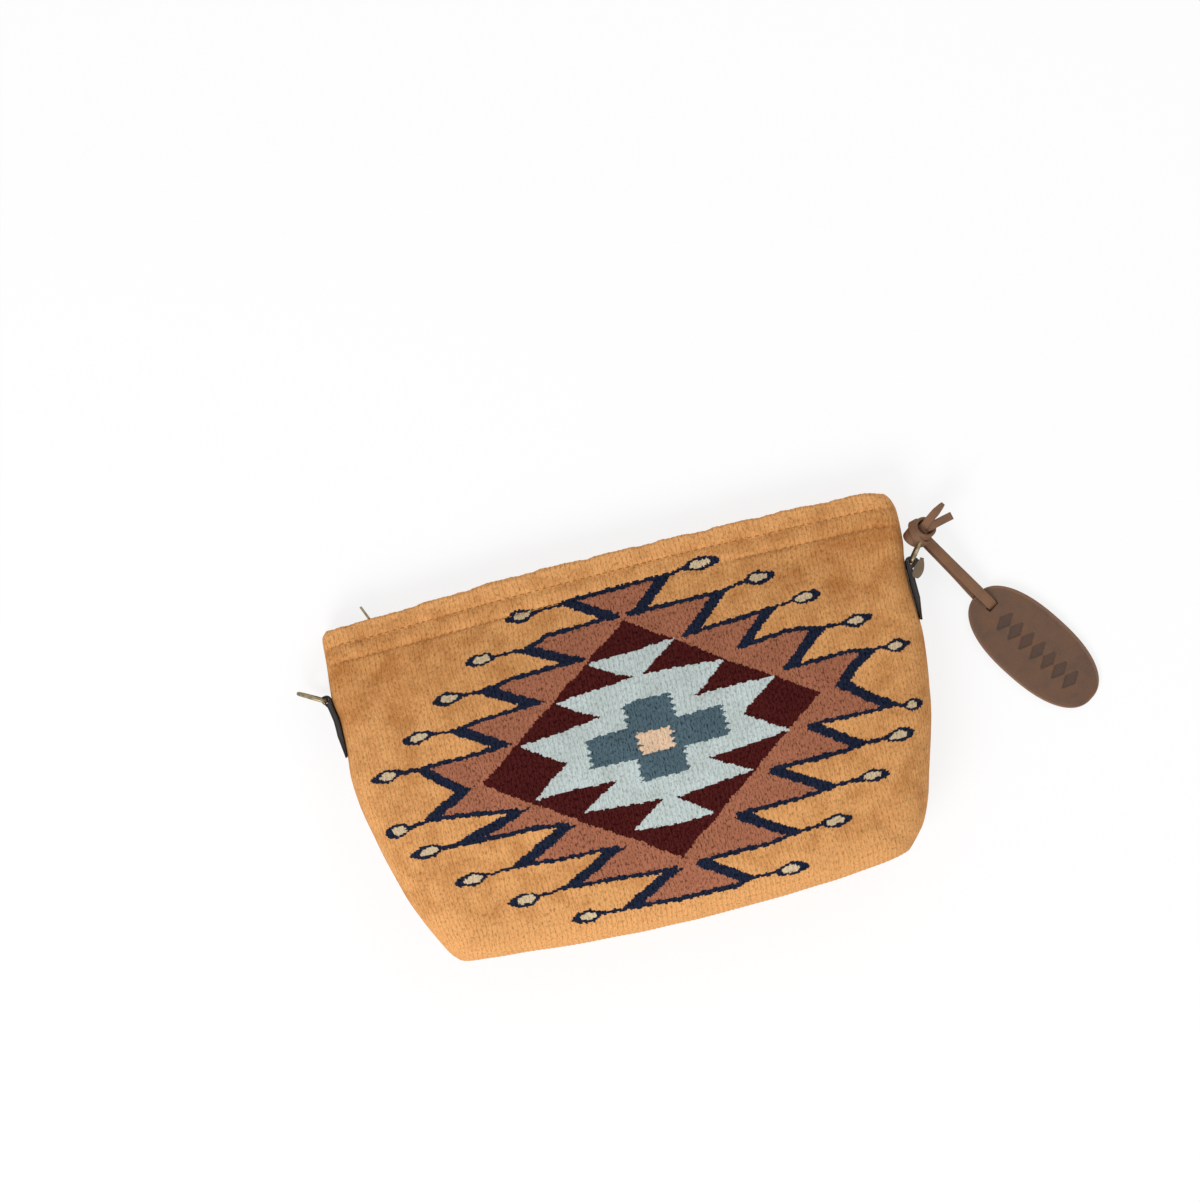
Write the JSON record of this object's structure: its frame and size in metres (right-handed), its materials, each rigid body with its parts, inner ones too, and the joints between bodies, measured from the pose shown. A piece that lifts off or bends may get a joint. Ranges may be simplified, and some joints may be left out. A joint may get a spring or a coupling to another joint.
{
  "type": "clutch bag",
  "caption": "Zip-top clutch bag in wool tapestry with a stepped diamond, boxed base, D-rings in leather side tabs, and a leather hang tag on a thong; it lies on its back panel.",
  "frame": {"origin": "on the surface the bag lies on, at the middle of its flat back panel", "axes": "+X along the zip towards the hang tag, +Y from the boxed base to the zip, +Z out of the front panel"},
  "size_m": [0.3418, 0.1674, 0.0533],
  "materials": {
    "ochre_wool": "woven, matte",
    "terracotta_wool": "woven, matte",
    "maroon_wool": "woven, matte",
    "pale_blue_wool": "woven, matte",
    "slate_wool": "woven, matte",
    "peach_wool": "woven, matte",
    "navy_wool": "woven, matte",
    "cream_wool": "woven, matte",
    "lining_cloth": "plain weave, matte",
    "zip_tape": "ribbed tape, matte",
    "antique_brass": "aged, satin",
    "black_leather": "smooth, satin",
    "brown_leather": "waxed, satin"
  },
  "bodies": {
    "bag": {"woven_shell": "ochre_wool", "lining": "lining_cloth", "zip_tape_front": "zip_tape", "zip_tape_back": "zip_tape", "zip_teeth_front": "antique_brass", "zip_teeth_back": "antique_brass", "zip_top_stop_front": "antique_brass", "zip_top_stop_back": "antique_brass", "zip_bottom_stop": "antique_brass", "left_tab": "black_leather", "right_tab": "black_leather", "motif_navy_zigzag": "navy_wool", "motif_terracotta": "terracotta_wool", "motif_maroon_diamond": "maroon_wool", "motif_pale_blue_star": "pale_blue_wool", "motif_slate_cross": "slate_wool", "motif_peach_square": "peach_wool", "motif_eye_01": "cream_wool", "motif_eye_02": "cream_wool", "motif_eye_03": "cream_wool", "motif_eye_04": "cream_wool", "motif_eye_05": "cream_wool", "motif_eye_06": "cream_wool", "motif_eye_07": "cream_wool", "motif_eye_08": "cream_wool", "motif_eye_09": "cream_wool", "motif_eye_10": "cream_wool", "motif_eye_11": "cream_wool", "motif_eye_12": "cream_wool", "motif_eye_13": "cream_wool", "motif_eye_14": "cream_wool", "motif_eye_15": "cream_wool", "motif_eye_16": "cream_wool", "motif_eye_17": "cream_wool", "motif_eye_18": "cream_wool", "motif_eye_19": "cream_wool", "motif_eye_20": "cream_wool"},
    "slider": {"zip_slider": "antique_brass"},
    "pull": {"zip_pull": "antique_brass"},
    "left_ring": {"left_d_ring": "antique_brass"},
    "right_ring": {"right_d_ring": "antique_brass"},
    "tag": {"tag_thong": "brown_leather", "hang_tag": "brown_leather"}
  },
  "joints": [
    {"name": "zip_run", "type": "slide", "parent": "bag", "child": "slider", "axis": [1, 0, 0], "range_m": [0, 0.209]},
    {"name": "pull_flip", "type": "hinge", "parent": "slider", "child": "pull", "pos_m": [-0.10116, 0.0744, 0.009], "axis": [0, 0, 1], "range_deg": [-75, 31]},
    {"name": "left_ring_swing", "type": "hinge", "parent": "bag", "child": "left_ring", "pos_m": [-0.12853, 0.045, 0.0115], "axis": [0, 0, 1], "range_deg": [-65, 100]},
    {"name": "right_ring_swing", "type": "hinge", "parent": "bag", "child": "right_ring", "pos_m": [0.13376, 0.0405, 0.01197], "axis": [0, 0, 1], "range_deg": [-20, 5]},
    {"name": "tag_swing", "type": "hinge", "parent": "right_ring", "child": "tag", "pos_m": [0.14151, 0.05018, 0.01197], "axis": [0, 0, 1], "range_deg": [-14, 62]}
  ]
}
